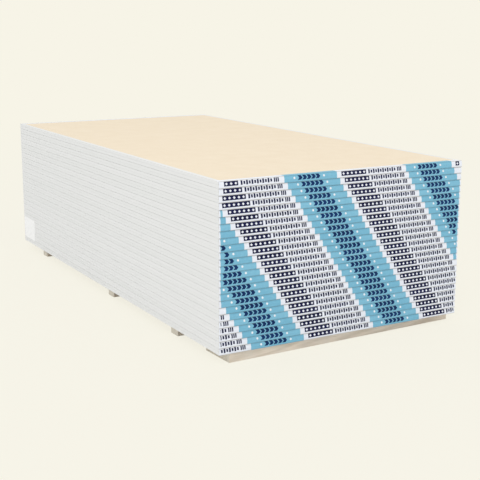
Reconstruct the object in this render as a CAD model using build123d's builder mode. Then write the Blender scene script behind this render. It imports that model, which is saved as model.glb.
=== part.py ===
"""A lift of drywall: two-sheet bundles, closed by paper end tapes, stacked flat on timber spacers.

Millimetres, +Z up. The origin is on the floor, under the middle of the stack. X runs across the sheets,
Y along them, and the end that faces the viewer is at -Y.
"""

import os

from build123d import *

# Driving dimensions of one sheet
sheet_width = 1200.0
sheet_length = 2400.0
sheet_thickness = 13.4
# The paper folds round the square long edges: tightly on the face side, more softly on the back
face_edge_chamfer = 0.3
back_edge_radius = 0.6

# The stack
bundle_count = 25
seam_gap = 0.1
stacking_gap = 0.1
# The lower sheet of each bundle stands this far out of the upper one at the near end
sheet_stagger = 4.0

# The end tapes, paper channels that hold the two sheets of a bundle together
tape_thickness = 0.2
tape_clearance = 0.05
tape_lap = 29.0
tape_fold_radius = 0.4

# The timber spacers, sawn boards laid across the stack
spacer_height = 38.0
spacer_arris = 2.0
# A wide board under the near end, laid a little askew: its right end is further in, by an angle in degrees
end_spacer_width = 184.0
end_spacer_left_inset = 46.0
end_spacer_right_inset = 10.0
end_spacer_skew = 2.0
# Narrow boards under the rest: two counted in from the ends, and one near the middle
spacer_width = 64.0
spacer_inset = 20.0
near_spacer_from_end = 436.0
far_spacer_from_end = 295.0
middle_spacer_offset = -64.0

# The paper tag low on the left long side, at the far end
tag_length = 176.0
tag_height = 118.0
tag_thickness = 0.3
tag_clearance = 0.1
tag_corner_radius = 6.0
tag_from_far_end = 5.0
tag_above_spacers = 26.0

# Sizes and places that follow
bundle_height = 2 * sheet_thickness + seam_gap
taped_height = bundle_height + 2 * (tape_clearance + tape_thickness)
bundle_pitch = taped_height + stacking_gap
near_end = -sheet_length / 2
far_end = sheet_length / 2
left_side = -sheet_width / 2
end_spacer_length = sheet_width - end_spacer_left_inset - end_spacer_right_inset
spacer_length = sheet_width - 2 * spacer_inset

os.makedirs("parts", exist_ok=True)


def bundle_middle(index):
    """Height of the seam between the two sheets of a bundle, counted from 0 at the bottom."""
    return spacer_height + stacking_gap + taped_height / 2 + index * bundle_pitch


def tape_outline(end, outward):
    """Corners of one tape's section at an end of the stack, measured from the middle of the bundle's seam.

    outward is 1 where the end faces +Y and -1 where it faces -Y. The paper is drawn tight over the ends
    of both sheets, so it has a knee where the one that stands out begins.
    """
    upper = end + sheet_stagger / 2
    lower = end - sheet_stagger / 2
    knee = max(upper, lower) if outward > 0 else min(upper, lower)
    tip = end - outward * tape_lap
    outside = outward * (tape_clearance + tape_thickness)
    inside = outward * tape_clearance
    top = taped_height / 2
    top_inside = top - tape_thickness
    outer = [(tip, top), (upper + outside, top), (knee + outside, 0), (lower + outside, -top), (tip, -top)]
    inner = [
        (tip, -top_inside),
        (lower + inside, -top_inside),
        (knee + inside, 0),
        (upper + inside, top_inside),
        (tip, top_inside),
    ]
    return outer + inner


# Bundles, each with two sheets face to face
for index in range(bundle_count):
    name = f"bundle_{index + 1:02d}"
    with BuildPart() as bundle:
        for side in (1, -1):
            sheet_plane = Plane(
                origin=(0, side * sheet_stagger / 2, bundle_middle(index)), x_dir=(1, 0, 0), z_dir=(0, -1, 0)
            )
            with BuildSketch(sheet_plane) as section:
                with Locations((0, side * (seam_gap + sheet_thickness) / 2)):
                    Rectangle(sheet_width, sheet_thickness)
                # The face is at the seam and the back is away from it
                chamfer(section.vertices().group_by(Axis.Y)[0 if side > 0 else -1], face_edge_chamfer)
                fillet(section.vertices().group_by(Axis.Y)[-1 if side > 0 else 0], back_edge_radius)
            extrude(amount=sheet_length / 2, both=True)
    bundle.part.label = name
    export_step(bundle.part, f"parts/{name}.step")


def make_end_tapes(name, end, outward):
    """Makes the tapes of all bundles at one end of the stack, as separate channels in one node."""
    with BuildPart() as tapes:
        for index in range(bundle_count):
            with BuildSketch(Plane.YZ.shift_origin((0, 0, bundle_middle(index)))) as section:
                with BuildLine():
                    Polyline(*tape_outline(end, outward), close=True)
                make_face()
                rows = section.vertices().group_by(Axis.Y)
                folds = [row.sort_by(Axis.X)[-1 if outward > 0 else 0] for row in (rows[0], rows[-1])]
                fillet(folds, tape_fold_radius)
            extrude(amount=sheet_width / 2, both=True)
    tapes.part.label = name
    export_step(tapes.part, f"parts/{name}.step")


make_end_tapes("near_end_tapes", near_end, -1)
make_end_tapes("far_end_tapes", far_end, 1)


def make_spacer(name, length, width, middle, skew=0.0):
    """Makes one timber spacer with eased edges, lying across the stack on the floor, round its middle."""
    board_plane = Plane.XZ.offset(-middle.Y).shift_origin(middle).rotated((0, 0, skew))
    with BuildPart() as spacer:
        with BuildSketch(board_plane):
            Rectangle(length, spacer_height, align=(Align.CENTER, Align.MIN))
        extrude(amount=width / 2, both=True)
        fillet(spacer.edges().filter_by(Axis((0, 0, 0), board_plane.x_dir)), spacer_arris)
    spacer.part.label = name
    export_step(spacer.part, f"parts/{name}.step")


# The end board turns about its near left corner, which is level with the end of the stack
end_spacer_corner = Vector(left_side + end_spacer_left_inset, near_end)
end_spacer_reach = Vector(end_spacer_length / 2, end_spacer_width / 2).rotate(Axis.Z, end_spacer_skew)
make_spacer(
    "end_spacer", end_spacer_length, end_spacer_width, end_spacer_corner + end_spacer_reach, end_spacer_skew
)
make_spacer("near_spacer", spacer_length, spacer_width, Vector(0, near_end + near_spacer_from_end))
make_spacer("middle_spacer", spacer_length, spacer_width, Vector(0, middle_spacer_offset))
make_spacer("far_spacer", spacer_length, spacer_width, Vector(0, far_end - far_spacer_from_end))

# Paper tag on the long side
with BuildPart() as tag:
    tag_middle = far_end - tag_from_far_end - tag_length / 2
    tag_bottom = spacer_height + tag_above_spacers
    with BuildSketch(Plane.YZ.offset(left_side - tag_clearance - tag_thickness)):
        with Locations((tag_middle, tag_bottom + tag_height / 2)):
            RectangleRounded(tag_length, tag_height, tag_corner_radius)
    extrude(amount=tag_thickness)
tag.part.label = "paper_tag"
export_step(tag.part, "parts/paper_tag.step")
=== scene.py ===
"""Dresses a lift of drywall: paper-faced sheets, printed end tapes, sawn spacers and a bare paper tag.

Metres, +Z up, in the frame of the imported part. X runs across the sheets, Y along them, and the end that
faces the viewer is at -Y. The print on the tapes is plain blocks of colour with generic marks.
"""

import math

import bmesh
import bpy
from mathutils import Matrix, Vector


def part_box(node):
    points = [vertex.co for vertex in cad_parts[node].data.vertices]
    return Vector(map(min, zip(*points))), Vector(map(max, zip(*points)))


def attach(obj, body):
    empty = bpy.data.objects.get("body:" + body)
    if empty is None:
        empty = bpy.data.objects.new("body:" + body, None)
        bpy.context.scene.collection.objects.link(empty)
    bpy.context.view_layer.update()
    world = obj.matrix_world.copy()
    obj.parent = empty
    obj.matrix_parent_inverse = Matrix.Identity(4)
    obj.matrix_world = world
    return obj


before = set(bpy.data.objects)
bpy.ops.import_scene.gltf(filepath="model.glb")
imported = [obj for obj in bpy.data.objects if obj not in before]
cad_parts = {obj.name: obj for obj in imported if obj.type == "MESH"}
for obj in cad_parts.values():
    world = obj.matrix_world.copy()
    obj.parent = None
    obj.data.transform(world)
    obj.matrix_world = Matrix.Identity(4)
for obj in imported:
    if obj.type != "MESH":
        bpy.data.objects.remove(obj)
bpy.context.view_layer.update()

MM = 0.001

# Sizes of the stack, read from the part
bundle_nodes = sorted(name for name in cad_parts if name.startswith("bundle_"))
bundle_count = len(bundle_nodes)
bundle_low, bundle_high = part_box("bundle_01")
sheet_width = bundle_high.x - bundle_low.x
bundle_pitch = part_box("bundle_02")[0].z - bundle_low.z
tape_low, tape_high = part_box("near_end_tapes")
tape_height = tape_high.z - tape_low.z - (bundle_count - 1) * bundle_pitch
top_seam = tape_high.z - tape_height / 2
# How far the tapes and the tips of their laps are from the middle of the stack, along Y
tape_reach = -tape_low.y
lap_tip_reach = -tape_high.y
# These are as in the part's source
sheets_per_bundle = 2
sheet_stagger = 4 * MM
tape_fold_radius = 0.4 * MM

# The print: blue blocks on white paper, starting further right on each tape down the stack
blue_width = 250 * MM
print_period = 602 * MM
blue_start = 289 * MM
white_start = blue_start + blue_width - print_period
row_step = 19 * MM
repeats_across = 4
# A tape is laid by hand, up to this far off to either side
hand_slip = 3 * MM
slip_seed = 7
# The print stops short of the ends of a tape. Blocks, ticks and bars are cut there, and drawn if more than
# the least share is left. Other marks are drawn only if they are whole
print_margin = 6 * MM
least_cut_share = 0.002
least_whole_share = 0.999

# The marks, which sit a little above the middle of the tape
mark_level = 2.7 * MM
mark_half_height = 9 * MM
# On the white, a band pierced by lozenges
band_start = white_start + 22 * MM
band_cells = 6
band_cell_width = 20.5 * MM
lozenge_half_width = 6 * MM
lozenge_half_height = 5.6 * MM
# Then a scale of ticks, tall and short by turns, and a patch of tall bars
tick_start = white_start + 156 * MM
tick_pairs = 6
tick_pair_spacing = 24 * MM
tick_width = 7.6 * MM
bar_start = white_start + 304 * MM
bar_count = 3
bar_spacing = 8.5 * MM
bar_width = 5.6 * MM
tall_half_height = 8.4 * MM
short_half_height = 5.8 * MM
# On the blue, a run of chevrons between two dots
chevron_start = blue_start + 62 * MM
chevron_count = 5
chevron_spacing = 21 * MM
chevron_arm = 15.5 * MM
chevron_lean = 7 * MM
dot_start = blue_start + 42 * MM
dot_count = 2
dot_spacing = 140 * MM
dot_radius = 4.5 * MM
dot_sides = 24

# Films of ink, thicker than real ones so that they stay clear of the paper in any viewer
block_film_thickness = 0.06 * MM
mark_film_thickness = 0.16 * MM
film_bury = 0.05 * MM
# A block goes round the fold of its tape in this many steps
bend_steps = 4

# The face paper of a sheet comes this far round onto its back, where it ends softly
folded_margin = 18 * MM
margin_softness = 1 * MM
# Its long sides, to this depth, are greyed this far from their edges, and by these shares, partly by
# handling wear and partly as painted shade in the seams between sheets
side_depth = 1 * MM
edge_wear_and_shade_width = 2.5 * MM
back_edge_wear_and_shade = 0.4
face_edge_wear_and_shade = 0.2
# The folds of a tape are greyed this far into its web, partly by rubbed wear and partly as painted shade
# where the rows of tapes meet
fold_wear_and_shade_width = 4 * MM

# A surface counts as an end where more than this share of its normal lies along the piece
end_facing_share = 0.7
# A wave texture of scale 1 turns by this many radians in a metre
wave_turn = 20

backdrop_colour = "#f7f4e7"


def linear(hex_colour):
    """Turns an sRGB hex colour into linear red, green, blue and alpha."""
    channels = []
    for place in (1, 3, 5):
        value = int(hex_colour[place:place + 2], 16) / 255
        channels.append(value / 12.92 if value <= 0.04045 else ((value + 0.055) / 1.055) ** 2.4)
    return [*channels, 1]


def add_node(tree, kind, inputs=None, output=0, **settings):
    """Adds a node with its settings and its input values or links, and returns one of its outputs."""
    node = tree.nodes.new(kind)
    for name, value in settings.items():
        setattr(node, name, value)
    for name, value in (inputs or {}).items():
        if isinstance(value, bpy.types.NodeSocket):
            tree.links.new(value, node.inputs[name])
        else:
            node.inputs[name].default_value = value
    return node.outputs[output] if node.outputs else None


def start_material(name):
    """Makes an empty material, and returns it with its tree and the place of a point in the part's frame."""
    material = bpy.data.materials.new(name)
    material.use_nodes = True
    tree = material.node_tree
    tree.nodes.clear()
    return material, tree, add_node(tree, "ShaderNodeTexCoord", output="Object")


def finish_material(tree, inputs):
    """Ends a material's tree in one Principled shader with these inputs."""
    shader = add_node(tree, "ShaderNodeBsdfPrincipled", inputs)
    add_node(tree, "ShaderNodeOutputMaterial", {"Surface": shader})


def stack_place(tree, place):
    """Where a point is in the stack: its bundle, in pitches from the bottom, and how far from the seam."""
    height = add_node(tree, "ShaderNodeSeparateXYZ", {"Vector": place}, "Z")
    rise = add_node(tree, "ShaderNodeMath", {0: height, 1: tape_low.z}, operation="SUBTRACT")
    bundle = add_node(tree, "ShaderNodeMath", {0: rise, 1: bundle_pitch}, operation="DIVIDE")
    from_seam = add_node(tree, "ShaderNodeMath", {0: rise, 1: bundle_pitch}, operation="FLOORED_MODULO")
    from_seam = add_node(tree, "ShaderNodeMath", {0: from_seam, 1: tape_height / 2}, operation="SUBTRACT")
    return bundle, add_node(tree, "ShaderNodeMath", {0: from_seam}, operation="ABSOLUTE")


def fold_wear_and_painted_shade(tree, place, from_seam):
    """How far a tape is greyed at a point, by rubbed wear and painted shade: fully at the folds of its web,
    and not at all on its laps.
    """
    fold = tape_height / 2
    wear_and_shade = {"Value": from_seam, "From Min": fold - fold_wear_and_shade_width, "From Max": fold}
    wear_and_shade = add_node(tree, "ShaderNodeMapRange", wear_and_shade, interpolation_type="SMOOTHSTEP")
    along = add_node(tree, "ShaderNodeSeparateXYZ", {"Vector": place}, "Y")
    along = add_node(tree, "ShaderNodeMath", {0: along}, operation="ABSOLUTE")
    web_start = tape_reach - sheet_stagger - 2 * tape_fold_radius
    on_web = add_node(tree, "ShaderNodeMath", {0: along, 1: web_start}, operation="GREATER_THAN")
    return add_node(tree, "ShaderNodeMath", {0: wear_and_shade, 1: on_web}, operation="MULTIPLY")


def side_wear_and_painted_shade(tree, across, from_seam):
    """How far a sheet is greyed at a point of its long sides, by handling wear and painted shade in the
    seams: most at the back edge, faintly at the face.
    """
    back = bundle_pitch / 2
    wear_and_shade_start = back - edge_wear_and_shade_width
    back_wear_and_shade = {"Value": from_seam, "From Min": wear_and_shade_start, "From Max": back, "To Max": back_edge_wear_and_shade}
    back_wear_and_shade = add_node(tree, "ShaderNodeMapRange", back_wear_and_shade, interpolation_type="SMOOTHSTEP")
    face_wear_and_shade = {"Value": from_seam, "From Max": edge_wear_and_shade_width, "To Min": face_edge_wear_and_shade, "To Max": 0}
    face_wear_and_shade = add_node(tree, "ShaderNodeMapRange", face_wear_and_shade, interpolation_type="SMOOTHSTEP")
    wear_and_shade = add_node(tree, "ShaderNodeMath", {0: back_wear_and_shade, 1: face_wear_and_shade}, operation="ADD")
    side_start = sheet_width / 2 - side_depth
    on_side = add_node(tree, "ShaderNodeMath", {0: across, 1: side_start}, operation="GREATER_THAN")
    return add_node(tree, "ShaderNodeMath", {0: wear_and_shade, 1: on_side}, operation="MULTIPLY")


def make_board_material(name, shows_back):
    """Gypsum board in paper liners, as it comes off the line.

    The recycled back liner is warm cream, softly clouded. The bleached face liner is folded round the long
    edges, where it looks cool off-white, and shows as a narrow margin on the back. Cut ends are chalky.
    """
    # Flecks are drawn coarser than real ones so that they show. Streaks run along the sheet
    fleck_size = 4 * MM
    cloud_size = 90 * MM
    streak_sizes = (14 * MM, 900 * MM, 6 * MM)
    material, tree, place = start_material(name)
    bundle, from_seam = stack_place(tree, place)

    # Whether a point is on folded face paper, on a cut end or on a face, which is near the bundle's seam
    across = add_node(tree, "ShaderNodeSeparateXYZ", {"Vector": place}, "X")
    across = add_node(tree, "ShaderNodeMath", {0: across}, operation="ABSOLUTE")
    fold_line = sheet_width / 2 - folded_margin
    on_margin = {"Value": across, "From Min": fold_line - margin_softness, "From Max": fold_line}
    on_margin = add_node(tree, "ShaderNodeMapRange", on_margin)
    facing = add_node(tree, "ShaderNodeNewGeometry", output="Normal")
    on_cut = add_node(tree, "ShaderNodeSeparateXYZ", {"Vector": facing}, "Y")
    on_cut = add_node(tree, "ShaderNodeMath", {0: on_cut}, operation="ABSOLUTE")
    on_cut = add_node(tree, "ShaderNodeMath", {0: on_cut, 1: end_facing_share}, operation="GREATER_THAN")
    sheet_middle = tape_height / 4
    on_face = add_node(tree, "ShaderNodeMath", {0: from_seam, 1: sheet_middle}, operation="LESS_THAN")

    # Each sheet has its own slight tone
    sheet = add_node(tree, "ShaderNodeMath", {0: bundle, 1: sheets_per_bundle}, operation="MULTIPLY")
    sheet = add_node(tree, "ShaderNodeMath", {0: sheet}, operation="FLOOR")
    sheet_tone = add_node(tree, "ShaderNodeTexWhiteNoise", {"W": sheet}, "Value", noise_dimensions="1D")

    fleck = add_node(tree, "ShaderNodeTexNoise", {"Vector": place, "Scale": 1 / fleck_size, "Detail": 3})
    cloud = add_node(tree, "ShaderNodeTexNoise", {"Vector": place, "Scale": 1 / cloud_size, "Detail": 2})
    streak = {"Vector": place, "Scale": [1 / size for size in streak_sizes]}
    streak = add_node(tree, "ShaderNodeMapping", streak)
    streak = add_node(tree, "ShaderNodeTexNoise", {"Vector": streak, "Scale": 1, "Detail": 2})

    back_tone = add_node(tree, "ShaderNodeMath", {0: streak, 1: 0.2, 2: cloud}, operation="MULTIPLY_ADD")
    back_tone = add_node(tree, "ShaderNodeMath", {0: back_tone, 1: fleck}, operation="ADD")
    back_tone = add_node(tree, "ShaderNodeMapRange", {"Value": back_tone, "From Min": 0.6, "From Max": 1.6})
    back_paper = {"Factor": back_tone, "A": linear("#f1e1c7"), "B": linear("#f8ead3")}
    back_paper = add_node(tree, "ShaderNodeMix", back_paper, "Result", data_type="RGBA")
    face_tone = add_node(tree, "ShaderNodeMath", {0: sheet_tone, 1: streak}, operation="ADD")
    face_tone = add_node(tree, "ShaderNodeMapRange", {"Value": face_tone, "From Min": 0.3, "From Max": 1.7})
    face_paper = {"Factor": face_tone, "A": linear("#ebecea"), "B": linear("#f0f0ef")}
    face_paper = add_node(tree, "ShaderNodeMix", face_paper, "Result", data_type="RGBA")
    # Handling wear and painted shade in the seams between sheets grey both edges of a long side
    face_paper = {"Factor": side_wear_and_painted_shade(tree, across, from_seam), "A": face_paper, "B": linear("#d9d9d7")}
    face_paper = add_node(tree, "ShaderNodeMix", face_paper, "Result", data_type="RGBA")
    core = {"Factor": fleck, "A": linear("#dcd9d1"), "B": linear("#f2f0ea")}
    core = add_node(tree, "ShaderNodeMix", core, "Result", data_type="RGBA")
    colour = back_paper
    for share, surface in ((on_face, face_paper), (on_margin, face_paper), (on_cut, core)):
        laid_over = {"Factor": share, "A": colour, "B": surface}
        colour = add_node(tree, "ShaderNodeMix", laid_over, "Result", data_type="RGBA")

    shader = {"Base Color": colour, "Roughness": 0.86, "IOR": 1.45, "Specular IOR Level": 0.25}
    if shows_back:
        # The felt that carried the wet liner leaves a soft nap
        nap = {"Height": fleck, "Strength": 0.25, "Distance": 0.15 * MM}
        shader["Normal"] = add_node(tree, "ShaderNodeBump", nap)
        rough = {"Value": fleck, "To Min": 0.8, "To Max": 0.92}
        shader["Roughness"] = add_node(tree, "ShaderNodeMapRange", rough)
    finish_material(tree, shader)
    return material


def make_tape_paper_material():
    """Bleached kraft paper, smoothed between rollers: clean white, softly clouded, grey at its folds from
    rubbed wear and painted shade.
    """
    # Fibres are drawn coarser than real ones so that they show
    fibre_size = 3 * MM
    cloud_size = 40 * MM
    material, tree, place = start_material("bleached_kraft_tape_paper")
    _, from_seam = stack_place(tree, place)
    fibre = add_node(tree, "ShaderNodeTexNoise", {"Vector": place, "Scale": 1 / fibre_size, "Detail": 3})
    cloud = add_node(tree, "ShaderNodeTexNoise", {"Vector": place, "Scale": 1 / cloud_size, "Detail": 2})
    tone = add_node(tree, "ShaderNodeMath", {0: fibre, 1: cloud}, operation="ADD")
    tone = add_node(tree, "ShaderNodeMapRange", {"Value": tone, "From Min": 0.7, "From Max": 1.3})
    clean = {"Factor": tone, "A": linear("#ecf0fa"), "B": linear("#f5f8fe")}
    clean = add_node(tree, "ShaderNodeMix", clean, "Result", data_type="RGBA")
    # The folds go grey, partly rubbed wear and partly painted shade between the rows of tapes
    worn_and_shaded = {"Factor": fold_wear_and_painted_shade(tree, place, from_seam), "A": clean, "B": linear("#cac8c5")}
    worn_and_shaded = add_node(tree, "ShaderNodeMix", worn_and_shaded, "Result", data_type="RGBA")
    rough = add_node(tree, "ShaderNodeMapRange", {"Value": fibre, "To Min": 0.5, "To Max": 0.66})
    bump = add_node(tree, "ShaderNodeBump", {"Height": cloud, "Strength": 0.3, "Distance": 0.3 * MM})
    finish_material(tree, {"Base Color": worn_and_shaded, "Roughness": rough, "IOR": 1.48, "Normal": bump})
    return material


def make_ink_material(name, thin_colour, full_colour, fold_wear_and_shade_colour, mottle_size):
    """Water-based ink printed by a rubber plate: flat colour, a slight mottle where less took, and folds
    greyed by rubbed wear and painted shade.

    Each tape comes from its own roll, printed a little heavier or lighter.
    """
    material, tree, place = start_material(name)
    bundle, from_seam = stack_place(tree, place)
    roll = add_node(tree, "ShaderNodeMath", {0: bundle}, operation="FLOOR")
    roll = add_node(tree, "ShaderNodeTexWhiteNoise", {"W": roll}, "Value", noise_dimensions="1D")
    take = add_node(tree, "ShaderNodeTexNoise", {"Vector": place, "Scale": 1 / mottle_size, "Detail": 3})
    take = add_node(tree, "ShaderNodeMath", {0: roll, 1: 0.5, 2: take}, operation="MULTIPLY_ADD")
    take = add_node(tree, "ShaderNodeMapRange", {"Value": take, "From Min": 0.4, "From Max": 1})
    fresh = {"Factor": take, "A": linear(thin_colour), "B": linear(full_colour)}
    fresh = add_node(tree, "ShaderNodeMix", fresh, "Result", data_type="RGBA")
    # The folds go grey, partly rubbed wear and partly painted shade between the rows of tapes
    worn_and_shaded = {"Factor": fold_wear_and_painted_shade(tree, place, from_seam), "A": fresh, "B": linear(fold_wear_and_shade_colour)}
    worn_and_shaded = add_node(tree, "ShaderNodeMix", worn_and_shaded, "Result", data_type="RGBA")
    rough = add_node(tree, "ShaderNodeMapRange", {"Value": take, "To Min": 0.62, "To Max": 0.5})
    matte = {"IOR": 1.48, "Specular IOR Level": 0.15}
    finish_material(tree, {"Base Color": worn_and_shaded, "Roughness": rough, **matte})
    return material


def make_timber_material():
    """Rough-sawn softwood, weathered pale: grain along the board, rings on its ends, saw marks across."""
    # Growth rings lie round a heart under the middle of the stack, and are drawn out along the board
    ring_spacing = 7 * MM
    heart_depth = 90 * MM
    drawn_out = 0.05
    fibre_sizes = (60 * MM, 2 * MM, 2 * MM)
    weather_size = 120 * MM
    saw_spacing = 4 * MM
    material, tree, place = start_material("rough_sawn_softwood")
    facing = add_node(tree, "ShaderNodeNewGeometry", output="Normal")
    on_end = add_node(tree, "ShaderNodeSeparateXYZ", {"Vector": facing}, "X")
    on_end = add_node(tree, "ShaderNodeMath", {0: on_end}, operation="ABSOLUTE")
    on_end = add_node(tree, "ShaderNodeMath", {0: on_end, 1: end_facing_share}, operation="GREATER_THAN")

    rings = {"Vector": place, "Location": (0, 0, heart_depth), "Scale": (drawn_out, 1, 1)}
    rings = add_node(tree, "ShaderNodeMapping", rings)
    ring_scale = 2 * math.pi / (wave_turn * ring_spacing)
    rings = {"Vector": rings, "Scale": ring_scale, "Distortion": 5, "Detail": 3}
    rings = add_node(tree, "ShaderNodeTexWave", rings, "Fac", wave_type="RINGS", rings_direction="X")
    fibre = {"Vector": place, "Scale": [1 / size for size in fibre_sizes]}
    fibre = add_node(tree, "ShaderNodeMapping", fibre)
    fibre = add_node(tree, "ShaderNodeTexNoise", {"Vector": fibre, "Scale": 1, "Detail": 4})
    weather = add_node(tree, "ShaderNodeTexNoise", {"Vector": place, "Scale": 1 / weather_size, "Detail": 3})
    saw_scale = 2 * math.pi / (wave_turn * saw_spacing)
    saw = {"Vector": place, "Scale": saw_scale, "Distortion": 2, "Detail": 1}
    saw = add_node(tree, "ShaderNodeTexWave", saw, "Fac", wave_type="BANDS", bands_direction="X")

    grain = add_node(tree, "ShaderNodeMath", {0: rings, 1: fibre}, operation="ADD")
    grain = add_node(tree, "ShaderNodeMapRange", {"Value": grain, "From Min": 0.3, "From Max": 1.7})
    wood = {"Factor": grain, "A": linear("#d2c4b0"), "B": linear("#ecdfcd")}
    wood = add_node(tree, "ShaderNodeMix", wood, "Result", data_type="RGBA")
    grey = {"Value": weather, "From Min": 0.4, "From Max": 0.75, "To Min": 0.1, "To Max": 0.6}
    grey = add_node(tree, "ShaderNodeMapRange", grey)
    weathered = {"Factor": grey, "A": wood, "B": linear("#ddd7cc")}
    weathered = add_node(tree, "ShaderNodeMix", weathered, "Result", data_type="RGBA")
    end = {"Factor": rings, "A": linear("#d6cebd"), "B": linear("#ebe5d8")}
    end = add_node(tree, "ShaderNodeMix", end, "Result", data_type="RGBA")
    colour = {"Factor": on_end, "A": weathered, "B": end}
    colour = add_node(tree, "ShaderNodeMix", colour, "Result", data_type="RGBA")
    relief = add_node(tree, "ShaderNodeMath", {0: saw, 1: 0.6, 2: fibre}, operation="MULTIPLY_ADD")
    bump = add_node(tree, "ShaderNodeBump", {"Height": relief, "Strength": 0.5, "Distance": 0.4 * MM})
    rough = add_node(tree, "ShaderNodeMapRange", {"Value": fibre, "To Min": 0.78, "To Max": 0.92})
    finish_material(tree, {"Base Color": colour, "Roughness": rough, "IOR": 1.45, "Normal": bump})
    return material


def make_label_paper_material():
    """Uncoated label paper, left bare: bright white, a little cockled by its glue, faintly smudged."""
    cockle_size = 35 * MM
    fibre_size = 2 * MM
    smudge_size = 22 * MM
    material, tree, place = start_material("uncoated_label_paper")
    cockle = add_node(tree, "ShaderNodeTexNoise", {"Vector": place, "Scale": 1 / cockle_size, "Detail": 1})
    fibre = add_node(tree, "ShaderNodeTexNoise", {"Vector": place, "Scale": 1 / fibre_size, "Detail": 3})
    smudge = add_node(tree, "ShaderNodeTexNoise", {"Vector": place, "Scale": 1 / smudge_size, "Detail": 4})
    smudge = add_node(tree, "ShaderNodeMapRange", {"Value": smudge, "From Min": 0.58, "From Max": 0.8})
    clean = {"Factor": fibre, "A": linear("#fcfcfa"), "B": linear("#ffffff")}
    clean = add_node(tree, "ShaderNodeMix", clean, "Result", data_type="RGBA")
    handled = {"Factor": smudge, "A": clean, "B": linear("#f1f2ef")}
    handled = add_node(tree, "ShaderNodeMix", handled, "Result", data_type="RGBA")
    bump = add_node(tree, "ShaderNodeBump", {"Height": cockle, "Strength": 0.4, "Distance": 1 * MM})
    rough = add_node(tree, "ShaderNodeMapRange", {"Value": fibre, "To Min": 0.6, "To Max": 0.75})
    finish_material(tree, {"Base Color": handled, "Roughness": rough, "IOR": 1.48, "Normal": bump})
    return material


def web_inset(level, outward):
    """How far a tape's web lies in from its furthest reach, at a level measured from the bundle's seam.

    outward is 1 at the end that faces +Y and -1 at the near end. The web follows the ends of both sheets.
    """
    return sheet_stagger * max(0.0, -outward * level) / (tape_height / 2)


def block_path(outward):
    """Points down the outside of a tape, as reach and level: from the lap's tip, over the fold, to the foot.

    At the far end the blocks start at the fold, because no colour shows on the laps there.
    """
    top = tape_height / 2
    tip = Vector((lap_tip_reach, top))
    fold = Vector((tape_reach - web_inset(top, outward), top))
    knee = Vector((tape_reach, 0))
    foot = Vector((tape_reach - web_inset(-top, outward), -top))
    bend_start = fold + (tip - fold).normalized() * tape_fold_radius
    bend_stop = fold + (knee - fold).normalized() * tape_fold_radius
    bend = []
    for step in range(bend_steps + 1):
        share = step / bend_steps
        bend.append(bend_start.lerp(fold, share).lerp(fold.lerp(bend_stop, share), share))
    foot += (knee - foot).normalized() * tape_fold_radius
    return [tip, *bend, knee, foot] if outward < 0 else [bend_stop, knee, foot]


def make_block_film(outward):
    """A film of ink that follows the tape from its lap down to its foot, one block wide from X = 0."""
    path = block_path(outward)
    outer = []
    inner = []
    for number, point in enumerate(path):
        run = (path[min(number + 1, len(path) - 1)] - path[max(number - 1, 0)]).normalized()
        away = Vector((-run.y, run.x))
        outer.append(point + away * block_film_thickness)
        inner.append(point - away * film_bury)
    section = outer + inner[::-1]
    film = bmesh.new()
    left = [film.verts.new((0, outward * reach, level)) for reach, level in section]
    right = [film.verts.new((blue_width, outward * reach, level)) for reach, level in section]
    film.faces.new(left)
    film.faces.new(right[::-1])
    for number in range(len(section)):
        film.faces.new((left[number - 1], right[number - 1], right[number], left[number]))
    bmesh.ops.recalc_face_normals(film, faces=film.faces)
    mesh = bpy.data.meshes.new("block_film")
    film.to_mesh(mesh)
    film.free()
    return mesh


def make_mark_film(shapes, width, outward):
    """A film of ink in flat shapes, bent over the knee of the tape's web.

    Each shape is a list of corners, as X from the mark's left side and level from the mark's own middle.
    At the far end the mark is turned to read the same way from behind.
    """
    film = bmesh.new()
    for shape in shapes:
        corners = [(width - x if outward > 0 else x, 0, level + mark_level) for x, level in shape]
        film.faces.new([film.verts.new(corner) for corner in corners])
    bmesh.ops.remove_doubles(film, verts=film.verts, dist=0.01 * MM)
    everything = film.verts[:] + film.edges[:] + film.faces[:]
    bmesh.ops.bisect_plane(film, geom=everything, plane_co=(0, 0, 0), plane_no=(0, 0, 1))
    for vert in film.verts:
        vert.co.y = outward * (tape_reach - web_inset(vert.co.z, outward) - film_bury)
    grown = bmesh.ops.extrude_face_region(film, geom=film.faces[:])["geom"]
    for vert in grown:
        if isinstance(vert, bmesh.types.BMVert):
            vert.co.y += outward * (film_bury + mark_film_thickness)
    bmesh.ops.recalc_face_normals(film, faces=film.faces)
    mesh = bpy.data.meshes.new("mark_film")
    film.to_mesh(mesh)
    film.free()
    return mesh


def pierced_cell():
    """The shapes of one cell of the band: four quarters round the lozenge that pierces it."""
    middle = band_cell_width / 2
    quarter = [
        (0, lozenge_half_height),
        (lozenge_half_width, 0),
        (middle, 0),
        (middle, mark_half_height),
        (0, mark_half_height),
    ]
    turns = [(right, up) for up in (1, -1) for right in (1, -1)]
    return [[(middle + right * x, up * level) for x, level in quarter] for right, up in turns]


def upright_bar(width, half_height):
    """The shape of an upright bar."""
    return [[(0, -half_height), (width, -half_height), (width, half_height), (0, half_height)]]


def chevron():
    """The shapes of a chevron that points to the right: its upper arm and its lower one."""
    tip = chevron_lean + chevron_arm
    upper = [(0, mark_half_height), (chevron_lean, 0), (tip, 0), (chevron_arm, mark_half_height)]
    lower = [(chevron_lean, 0), (0, -mark_half_height), (chevron_arm, -mark_half_height), (tip, 0)]
    return [upper, lower]


def dot():
    """The shape of a round dot."""
    angles = [2 * math.pi * side / dot_sides for side in range(dot_sides)]
    return [[(dot_radius + dot_radius * math.cos(angle), dot_radius * math.sin(angle)) for angle in angles]]


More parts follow.
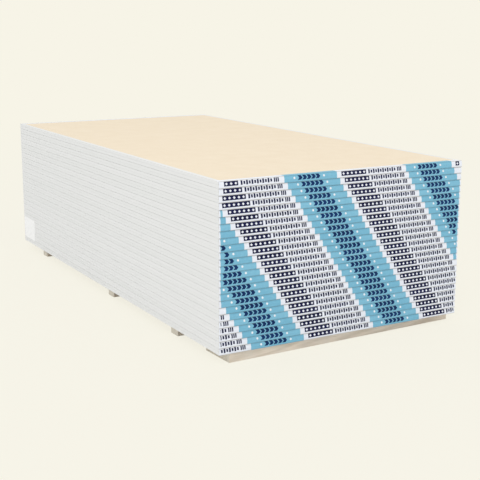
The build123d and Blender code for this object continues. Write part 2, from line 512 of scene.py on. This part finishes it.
def make_print_tree():
    """Builds the tree that repeats a film of ink along each tape and down the rows of tapes."""
    tree = bpy.data.node_groups.new("print_on_tapes", "GeometryNodeTree")
    sockets = {
        "NodeSocketGeometry": ["Film"],
        "NodeSocketInt": ["Rows", "Repeats", "Marks", "Seed"],
        "NodeSocketFloat": [
            "First Start", "Mark Width", "Mark Spacing", "Period", "Row Step", "Slip",
            "Tape Width", "Margin", "Least Share", "Row Pitch", "Top Seam", "Direction",
        ],
        "NodeSocketMaterial": ["Ink"],
    }
    for kind, names in sockets.items():
        for name in names:
            tree.interface.new_socket(name, in_out="INPUT", socket_type=kind)
    tree.interface.new_socket("Print", in_out="OUTPUT", socket_type="NodeSocketGeometry")
    group = tree.nodes.new("NodeGroupInput").outputs

    # Number each film: its mark within a group, the group's repeat along the tape, and its row from the top
    per_row = {0: group["Marks"], 1: group["Repeats"]}
    per_row = add_node(tree, "ShaderNodeMath", per_row, operation="MULTIPLY")
    total = add_node(tree, "ShaderNodeMath", {0: per_row, 1: group["Rows"]}, operation="MULTIPLY")
    points = add_node(tree, "GeometryNodePoints", {"Count": total})
    index = add_node(tree, "GeometryNodeInputIndex")
    row = add_node(tree, "ShaderNodeMath", {0: index, 1: per_row}, operation="DIVIDE")
    row = add_node(tree, "ShaderNodeMath", {0: row}, operation="FLOOR")
    in_row = add_node(tree, "ShaderNodeMath", {0: index, 1: per_row}, operation="FLOORED_MODULO")
    repeat = add_node(tree, "ShaderNodeMath", {0: in_row, 1: group["Marks"]}, operation="DIVIDE")
    repeat = add_node(tree, "ShaderNodeMath", {0: repeat}, operation="FLOOR")
    mark = add_node(tree, "ShaderNodeMath", {0: in_row, 1: group["Marks"]}, operation="FLOORED_MODULO")

    # Where it starts along the tape, and what is left of it where the tape ends
    slip = add_node(tree, "ShaderNodeMath", {0: group["Slip"], 1: -1}, operation="MULTIPLY")
    slip = {"Min": slip, "Max": group["Slip"], "ID": row, "Seed": group["Seed"]}
    slip = add_node(tree, "FunctionNodeRandomValue", slip, "Value", data_type="FLOAT")
    start = add_node(tree, "ShaderNodeMath", {0: group["First Start"], 1: slip}, operation="ADD")
    for number, step in ((row, "Row Step"), (repeat, "Period"), (mark, "Mark Spacing")):
        moved = {0: number, 1: group[step], 2: start}
        start = add_node(tree, "ShaderNodeMath", moved, operation="MULTIPLY_ADD")
    stop = add_node(tree, "ShaderNodeMath", {0: start, 1: group["Mark Width"]}, operation="ADD")
    last = {0: group["Tape Width"], 1: group["Margin"]}
    last = add_node(tree, "ShaderNodeMath", last, operation="SUBTRACT")
    left = add_node(tree, "ShaderNodeMath", {0: start, 1: group["Margin"]}, operation="MAXIMUM")
    right = add_node(tree, "ShaderNodeMath", {0: stop, 1: last}, operation="MINIMUM")
    share = add_node(tree, "ShaderNodeMath", {0: right, 1: left}, operation="SUBTRACT")
    share = add_node(tree, "ShaderNodeMath", {0: share, 1: group["Mark Width"]}, operation="DIVIDE")
    printed = {0: share, 1: group["Least Share"]}
    printed = add_node(tree, "ShaderNodeMath", printed, operation="GREATER_THAN")

    # From the tape's own length to the part's X, read from left to right by someone who faces that end
    half = add_node(tree, "ShaderNodeMath", {0: group["Tape Width"], 1: 0.5}, operation="MULTIPLY")
    ends = []
    for side in (left, right):
        from_middle = add_node(tree, "ShaderNodeMath", {0: side, 1: half}, operation="SUBTRACT")
        turned = {0: from_middle, 1: group["Direction"]}
        ends.append(add_node(tree, "ShaderNodeMath", turned, operation="MULTIPLY"))
    across = add_node(tree, "ShaderNodeMath", {0: ends[0], 1: ends[1]}, operation="MINIMUM")
    drop = add_node(tree, "ShaderNodeMath", {0: row, 1: group["Row Pitch"]}, operation="MULTIPLY")
    level = add_node(tree, "ShaderNodeMath", {0: group["Top Seam"], 1: drop}, operation="SUBTRACT")
    spot = add_node(tree, "ShaderNodeCombineXYZ", {"X": across, "Z": level})
    stretch = add_node(tree, "ShaderNodeCombineXYZ", {"X": share, "Y": 1, "Z": 1})
    placed = add_node(tree, "GeometryNodeSetPosition", {"Geometry": points, "Position": spot})
    films = {"Points": placed, "Selection": printed, "Instance": group["Film"], "Scale": stretch}
    films = add_node(tree, "GeometryNodeInstanceOnPoints", films)
    solid = add_node(tree, "GeometryNodeRealizeInstances", {"Geometry": films})
    inked = add_node(tree, "GeometryNodeSetMaterial", {"Geometry": solid, "Material": group["Ink"]})
    add_node(tree, "NodeGroupOutput", {"Print": inked})
    return tree


def print_film(tree, film, outward, ink, start, width, count, spacing, least_share):
    """Repeats one film over all the tapes at one end, and returns the result as a plain mesh."""
    values = {
        "Rows": bundle_count,
        "Repeats": repeats_across,
        "Marks": count,
        "Seed": slip_seed,
        "First Start": start - print_period,
        "Mark Width": width,
        "Mark Spacing": spacing,
        "Period": print_period,
        "Row Step": row_step,
        "Slip": hand_slip,
        "Tape Width": sheet_width,
        "Margin": print_margin,
        "Least Share": least_share,
        "Row Pitch": bundle_pitch,
        "Top Seam": top_seam,
        "Direction": -outward,
        "Ink": ink,
    }
    press = bpy.data.objects.new("press", film)
    bpy.context.scene.collection.objects.link(press)
    repeat = press.modifiers.new("print", "NODES")
    repeat.node_group = tree
    for item in tree.interface.items_tree:
        if item.in_out == "INPUT" and item.name in values:
            wanted = values[item.name]
            repeat[item.identifier] = float(wanted) if item.socket_type == "NodeSocketFloat" else wanted
    solid = press.evaluated_get(bpy.context.evaluated_depsgraph_get())
    mesh = bpy.data.meshes.new_from_object(solid)
    bpy.data.objects.remove(press)
    bpy.data.meshes.remove(film)
    return mesh


def make_print_piece(name, meshes, ink):
    """Joins printed films of one ink into one piece that rides on the stack."""
    joined = bmesh.new()
    for mesh in meshes:
        joined.from_mesh(mesh)
        bpy.data.meshes.remove(mesh)
    mesh = bpy.data.meshes.new(name)
    joined.to_mesh(mesh)
    joined.free()
    mesh.materials.clear()
    mesh.materials.append(ink)
    mesh.polygons.foreach_set("material_index", [0] * len(mesh.polygons))
    piece = bpy.data.objects.new(name, mesh)
    bpy.context.scene.collection.objects.link(piece)
    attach(piece, "root")


def print_tapes(tree, side, outward, inks):
    """Prints the tapes at one end: blue blocks, navy marks beside them, and chevrons and dots on them."""
    blue = inks["blue"]
    block = make_block_film(outward)
    blocks = print_film(
        tree, block, outward, blue, blue_start, blue_width, count=1, spacing=0, least_share=least_cut_share
    )
    make_print_piece(f"{side}_blue_blocks", [blocks], blue)

    # Each mark's shapes, width, start, count in a group, spacing there and least share
    tall_tick = upright_bar(tick_width, tall_half_height)
    short_tick = upright_bar(tick_width, short_half_height)
    short_start = tick_start + tick_pair_spacing / 2
    bar = upright_bar(bar_width, tall_half_height)
    navy_marks = [
        (pierced_cell(), band_cell_width, band_start, band_cells, band_cell_width, least_whole_share),
        (tall_tick, tick_width, tick_start, tick_pairs, tick_pair_spacing, least_cut_share),
        (short_tick, tick_width, short_start, tick_pairs, tick_pair_spacing, least_cut_share),
        (bar, bar_width, bar_start, bar_count, bar_spacing, least_cut_share),
    ]
    chevron_width = chevron_lean + chevron_arm
    chevrons = (chevron(), chevron_width, chevron_start, chevron_count, chevron_spacing, least_whole_share)
    dots = (dot(), 2 * dot_radius, dot_start, dot_count, dot_spacing, least_whole_share)
    for name, ink, marks in (
        ("navy_marks", inks["navy"], navy_marks),
        ("deep_blue_chevrons", inks["deep blue"], [chevrons]),
        ("white_dots", inks["white"], [dots]),
    ):
        prints = []
        for shapes, width, start, count, spacing, least_share in marks:
            film = make_mark_film(shapes, width, outward)
            prints.append(print_film(tree, film, outward, ink, start, width, count, spacing, least_share))
        make_print_piece(f"{side}_{name}", prints, ink)


def dress(node, material):
    """Gives a node of the part its material."""
    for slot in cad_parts[node].material_slots:
        slot.material = material


def place_camera():
    """Stands the camera where the photograph was taken from, by a fit to the edges and rows of the stack."""
    azimuth = math.radians(29.79)
    fall = math.radians(12.498)
    roll = math.radians(0.155)
    eye = Vector((-2.3770, -4.4660, 1.3254))
    ahead = Vector((math.sin(azimuth) * math.cos(fall), math.cos(azimuth) * math.cos(fall), -math.sin(fall)))
    level = Vector((math.cos(azimuth), -math.sin(azimuth), 0))
    upright = level.cross(ahead)
    right = level * math.cos(roll) + upright * math.sin(roll)
    up = upright * math.cos(roll) - level * math.sin(roll)
    lens = bpy.data.cameras.new("photo_view")
    lens.sensor_width = 36
    lens.lens = 75.06
    camera = bpy.data.objects.new("photo_view", lens)
    turn = Matrix((right, up, -ahead)).transposed().to_4x4()
    camera.matrix_world = Matrix.Translation(eye) @ turn
    bpy.context.scene.collection.objects.link(camera)
    bpy.context.scene.camera = camera


def make_backdrop():
    """Lights the stack evenly with a white sky, and shows a pale backdrop in its place."""
    sky_strength = 0.88
    world = bpy.data.worlds.new("studio")
    world.use_nodes = True
    tree = world.node_tree
    tree.nodes.clear()
    seen = add_node(tree, "ShaderNodeLightPath", output="Is Camera Ray")
    mirrored = add_node(tree, "ShaderNodeLightPath", output="Is Glossy Ray")
    through = add_node(tree, "ShaderNodeLightPath", output="Is Transmission Ray")
    shown = add_node(tree, "ShaderNodeMath", {0: seen, 1: mirrored}, operation="MAXIMUM")
    shown = add_node(tree, "ShaderNodeMath", {0: shown, 1: through}, operation="MAXIMUM")
    sky = add_node(tree, "ShaderNodeBackground", {"Color": linear("#ffffff"), "Strength": sky_strength})
    wall = add_node(tree, "ShaderNodeBackground", {"Color": linear(backdrop_colour), "Strength": 1})
    both = add_node(tree, "ShaderNodeMixShader", {0: shown, 1: sky, 2: wall})
    add_node(tree, "ShaderNodeOutputWorld", {"Surface": both})
    bpy.context.scene.world = world


def make_floor():
    """Lays a pale floor that takes a light shadow, and far off fades into the backdrop."""
    # The camera sees this share of the backdrop's colour near the stack, and all of it where the fade ends
    near_share = 0.9
    fade_start = 2
    fade_end = 8
    reach = 600
    material, tree, place = start_material("pale_studio_floor")
    paint = add_node(tree, "ShaderNodeBsdfDiffuse", {"Color": linear("#f2f2f0")})
    glow = add_node(tree, "ShaderNodeEmission", {"Color": linear(backdrop_colour), "Strength": 1})
    seen = add_node(tree, "ShaderNodeLightPath", output="Is Camera Ray")
    distance = add_node(tree, "ShaderNodeVectorMath", {0: place}, "Value", operation="LENGTH")
    lift = {"Value": distance, "From Min": fade_start, "From Max": fade_end, "To Min": near_share}
    lift = add_node(tree, "ShaderNodeMapRange", lift)
    lift = add_node(tree, "ShaderNodeMath", {0: seen, 1: lift}, operation="MULTIPLY")
    surface = add_node(tree, "ShaderNodeMixShader", {0: lift, 1: paint, 2: glow})
    add_node(tree, "ShaderNodeOutputMaterial", {"Surface": surface})
    mesh = bpy.data.meshes.new("floor")
    corners = [(-reach, -reach, 0), (reach, -reach, 0), (reach, reach, 0), (-reach, reach, 0)]
    mesh.from_pydata(corners, [], [(0, 1, 2, 3)])
    mesh.materials.append(material)
    floor = bpy.data.objects.new("floor", mesh)
    bpy.context.scene.collection.objects.link(floor)


def hang_lamp():
    """Hangs one soft lamp high in front, a little to the left."""
    spot = Vector((-4.2, -5.6, 8.5))
    aim = Vector((0, -0.6, 0.4))
    lamp = bpy.data.lights.new("soft_key", "AREA")
    lamp.shape = "DISK"
    lamp.size = 2.8
    lamp.energy = 160
    key = bpy.data.objects.new("soft_key", lamp)
    key.matrix_world = Matrix.Translation(spot) @ (aim - spot).to_track_quat("-Z", "Y").to_matrix().to_4x4()
    bpy.context.scene.collection.objects.link(key)


place_camera()
make_backdrop()
make_floor()
hang_lamp()
bpy.context.scene.view_settings.view_transform = "Standard"

# Materials of the CAD nodes
edge_board = make_board_material("paper_lined_gypsum_board", False)
top_board = make_board_material("paper_lined_gypsum_board_top", True)
for name in bundle_nodes:
    dress(name, top_board if name == bundle_nodes[-1] else edge_board)
tape_paper = make_tape_paper_material()
dress("near_end_tapes", tape_paper)
dress("far_end_tapes", tape_paper)
timber = make_timber_material()
for name in ("end_spacer", "near_spacer", "middle_spacer", "far_spacer"):
    dress(name, timber)
dress("paper_tag", make_label_paper_material())

# Print on the tapes
inks = {
    # The last colour of each ink is its grey at the folds, partly rubbed wear and partly painted shade
    "blue": make_ink_material("sky_blue_plate_ink", "#8ac5dd", "#7cbbd5", "#6fa6bc", 9 * MM),
    "navy": make_ink_material("navy_plate_ink", "#1a1f4c", "#0f143c", "#0f143c", 4 * MM),
    "deep blue": make_ink_material("navy_plate_ink_over_blue", "#10386c", "#072a58", "#072a58", 4 * MM),
    "white": make_ink_material("white_plate_ink", "#eef1f4", "#f8f9fa", "#c9d0d4", 4 * MM),
}
print_tree = make_print_tree()
print_tapes(print_tree, "near", -1, inks)
print_tapes(print_tree, "far", 1, inks)
